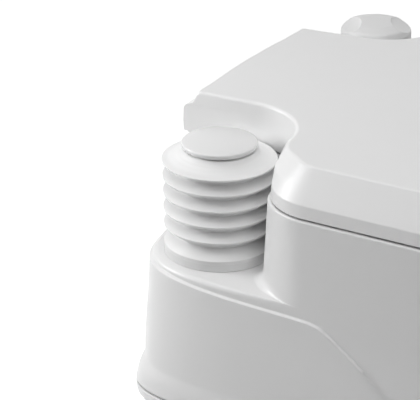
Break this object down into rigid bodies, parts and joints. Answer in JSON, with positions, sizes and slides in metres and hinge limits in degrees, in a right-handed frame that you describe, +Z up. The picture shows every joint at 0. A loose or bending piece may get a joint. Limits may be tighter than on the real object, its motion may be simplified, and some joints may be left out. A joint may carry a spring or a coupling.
{
  "type": "portable toilet",
  "caption": "Portable toilet: a fresh-water section with bowl, bellows flush pump, seat and lid, latched on a waste section with slide valve and pouring spout.",
  "frame": {"origin": "centre of the base, on the floor", "axes": "+Z up, front towards -Y, flush pump at the rear on the -X side"},
  "size_m": [0.383, 0.427, 0.417],
  "materials": {
    "shell": "moulded white plastic, satin gloss",
    "bellows": "soft white plastic, satin",
    "gloss_white": "moulded white plastic, high gloss",
    "grey_plastic": "moulded grey plastic, fine matt grain",
    "rubber": "moulded black rubber, dull",
    "steel": "zinc plated steel",
    "clear": "clear moulded plastic"
  },
  "bodies": {
    "waste_section": {"waste_tank": "shell", "valve_body": "grey_plastic", "valve_lip_seal": "rubber", "valve_screw_1": "steel", "valve_screw_2": "steel", "valve_screw_3": "steel", "valve_screw_4": "steel", "spout_seal": "rubber", "vent_seal": "rubber", "vent_spring": "steel", "latch_pin_left": "steel", "latch_pin_right": "steel", "carry_handle": "grey_plastic", "waste_level_window": "clear"},
    "fresh_section": {"fresh_tank": "shell", "bowl": "gloss_white", "flush_nozzle": "shell", "flush_hose": "clear", "suction_pipe": "grey_plastic", "suction_strainer": "grey_plastic", "pump_base": "shell", "pump_gasket": "rubber", "pump_lock_nut": "grey_plastic", "pump_valve": "rubber", "pump_bellows": "bellows", "fill_neck": "shell", "hinge_pin_left": "grey_plastic", "hinge_pin_right": "grey_plastic", "fresh_level_window": "clear", "drain_collar": "rubber"},
    "pump_plunger": {"pump_button": "gloss_white", "pump_rod": "grey_plastic"},
    "seat_body": {"seat": "shell", "seat_buffer_1": "rubber", "seat_buffer_2": "rubber", "seat_buffer_3": "rubber", "seat_buffer_4": "rubber"},
    "lid_body": {"lid": "shell", "lid_buffer_left": "rubber", "lid_buffer_right": "rubber"},
    "cap_carrier": {"fill_cap_seal": "rubber"},
    "cap": {"fill_cap": "shell"},
    "valve_slide": {"valve_blade": "grey_plastic", "valve_handle": "grey_plastic"},
    "spout": {"pour_spout": "shell"},
    "spout_cap_carrier": {"spout_cap_seal": "rubber"},
    "spout_end": {"spout_cap": "grey_plastic"},
    "vent": {"vent_button": "grey_plastic"},
    "left_latch": {"latch_left": "grey_plastic"},
    "right_latch": {"latch_right": "grey_plastic"}
  },
  "joints": [
    {"name": "section_lift", "type": "slide", "parent": "waste_section", "child": "fresh_section", "axis": [0, 0, 1], "range_m": [0, 0.25]},
    {"name": "pump_stroke", "type": "slide", "parent": "fresh_section", "child": "pump_plunger", "axis": [0, 0, -1], "range_m": [0, 0.04], "stiffness_N_per_m": 400, "springref_m": -0.005, "deforming": ["pump_bellows"]},
    {"name": "seat_hinge", "type": "hinge", "parent": "fresh_section", "child": "seat_body", "pos_m": [0, 0.197, 0.3895], "axis": [1, 0, 0], "range_deg": [-105, 0]},
    {"name": "lid_hinge", "type": "hinge", "parent": "seat_body", "child": "lid_body", "pos_m": [0, 0.197, 0.3895], "axis": [-1, 0, 0], "range_deg": [0, 105]},
    {"name": "fill_cap_lift", "type": "slide", "parent": "fresh_section", "child": "cap_carrier", "axis": [0, 0, 1], "range_m": [0, 0.05]},
    {"name": "fill_cap_turn", "type": "hinge", "parent": "cap_carrier", "child": "cap", "pos_m": [0.133, 0.151, 0.395], "axis": [0, 0, 1], "range_deg": [0, 270]},
    {"name": "valve_pull", "type": "slide", "parent": "waste_section", "child": "valve_slide", "axis": [0, -1, 0], "range_m": [0, 0.108]},
    {"name": "spout_swing", "type": "hinge", "parent": "waste_section", "child": "spout", "pos_m": [0.12, 0.157, 0.15], "axis": [0, 0, -1], "range_deg": [0, 180]},
    {"name": "spout_cap_pull", "type": "slide", "parent": "spout", "child": "spout_cap_carrier", "axis": [-1, 0, 0], "range_m": [0, 0.05]},
    {"name": "spout_cap_turn", "type": "hinge", "parent": "spout_cap_carrier", "child": "spout_end", "pos_m": [-0.016, 0.157, 0.177], "axis": [-1, 0, 0], "range_deg": [0, 270]},
    {"name": "vent_press", "type": "slide", "parent": "waste_section", "child": "vent", "axis": [0, 0, -1], "range_m": [0, 0.004], "stiffness_N_per_m": 500, "springref_m": -0.002, "deforming": ["vent_spring"]},
    {"name": "left_latch_swing", "type": "hinge", "parent": "waste_section", "child": "left_latch", "pos_m": [-0.184, -0.03, 0.192], "axis": [0, -1, 0], "range_deg": [-180, 0]},
    {"name": "right_latch_swing", "type": "hinge", "parent": "waste_section", "child": "right_latch", "pos_m": [0.184, -0.03, 0.192], "axis": [0, 1, 0], "range_deg": [-180, 0]}
  ]
}
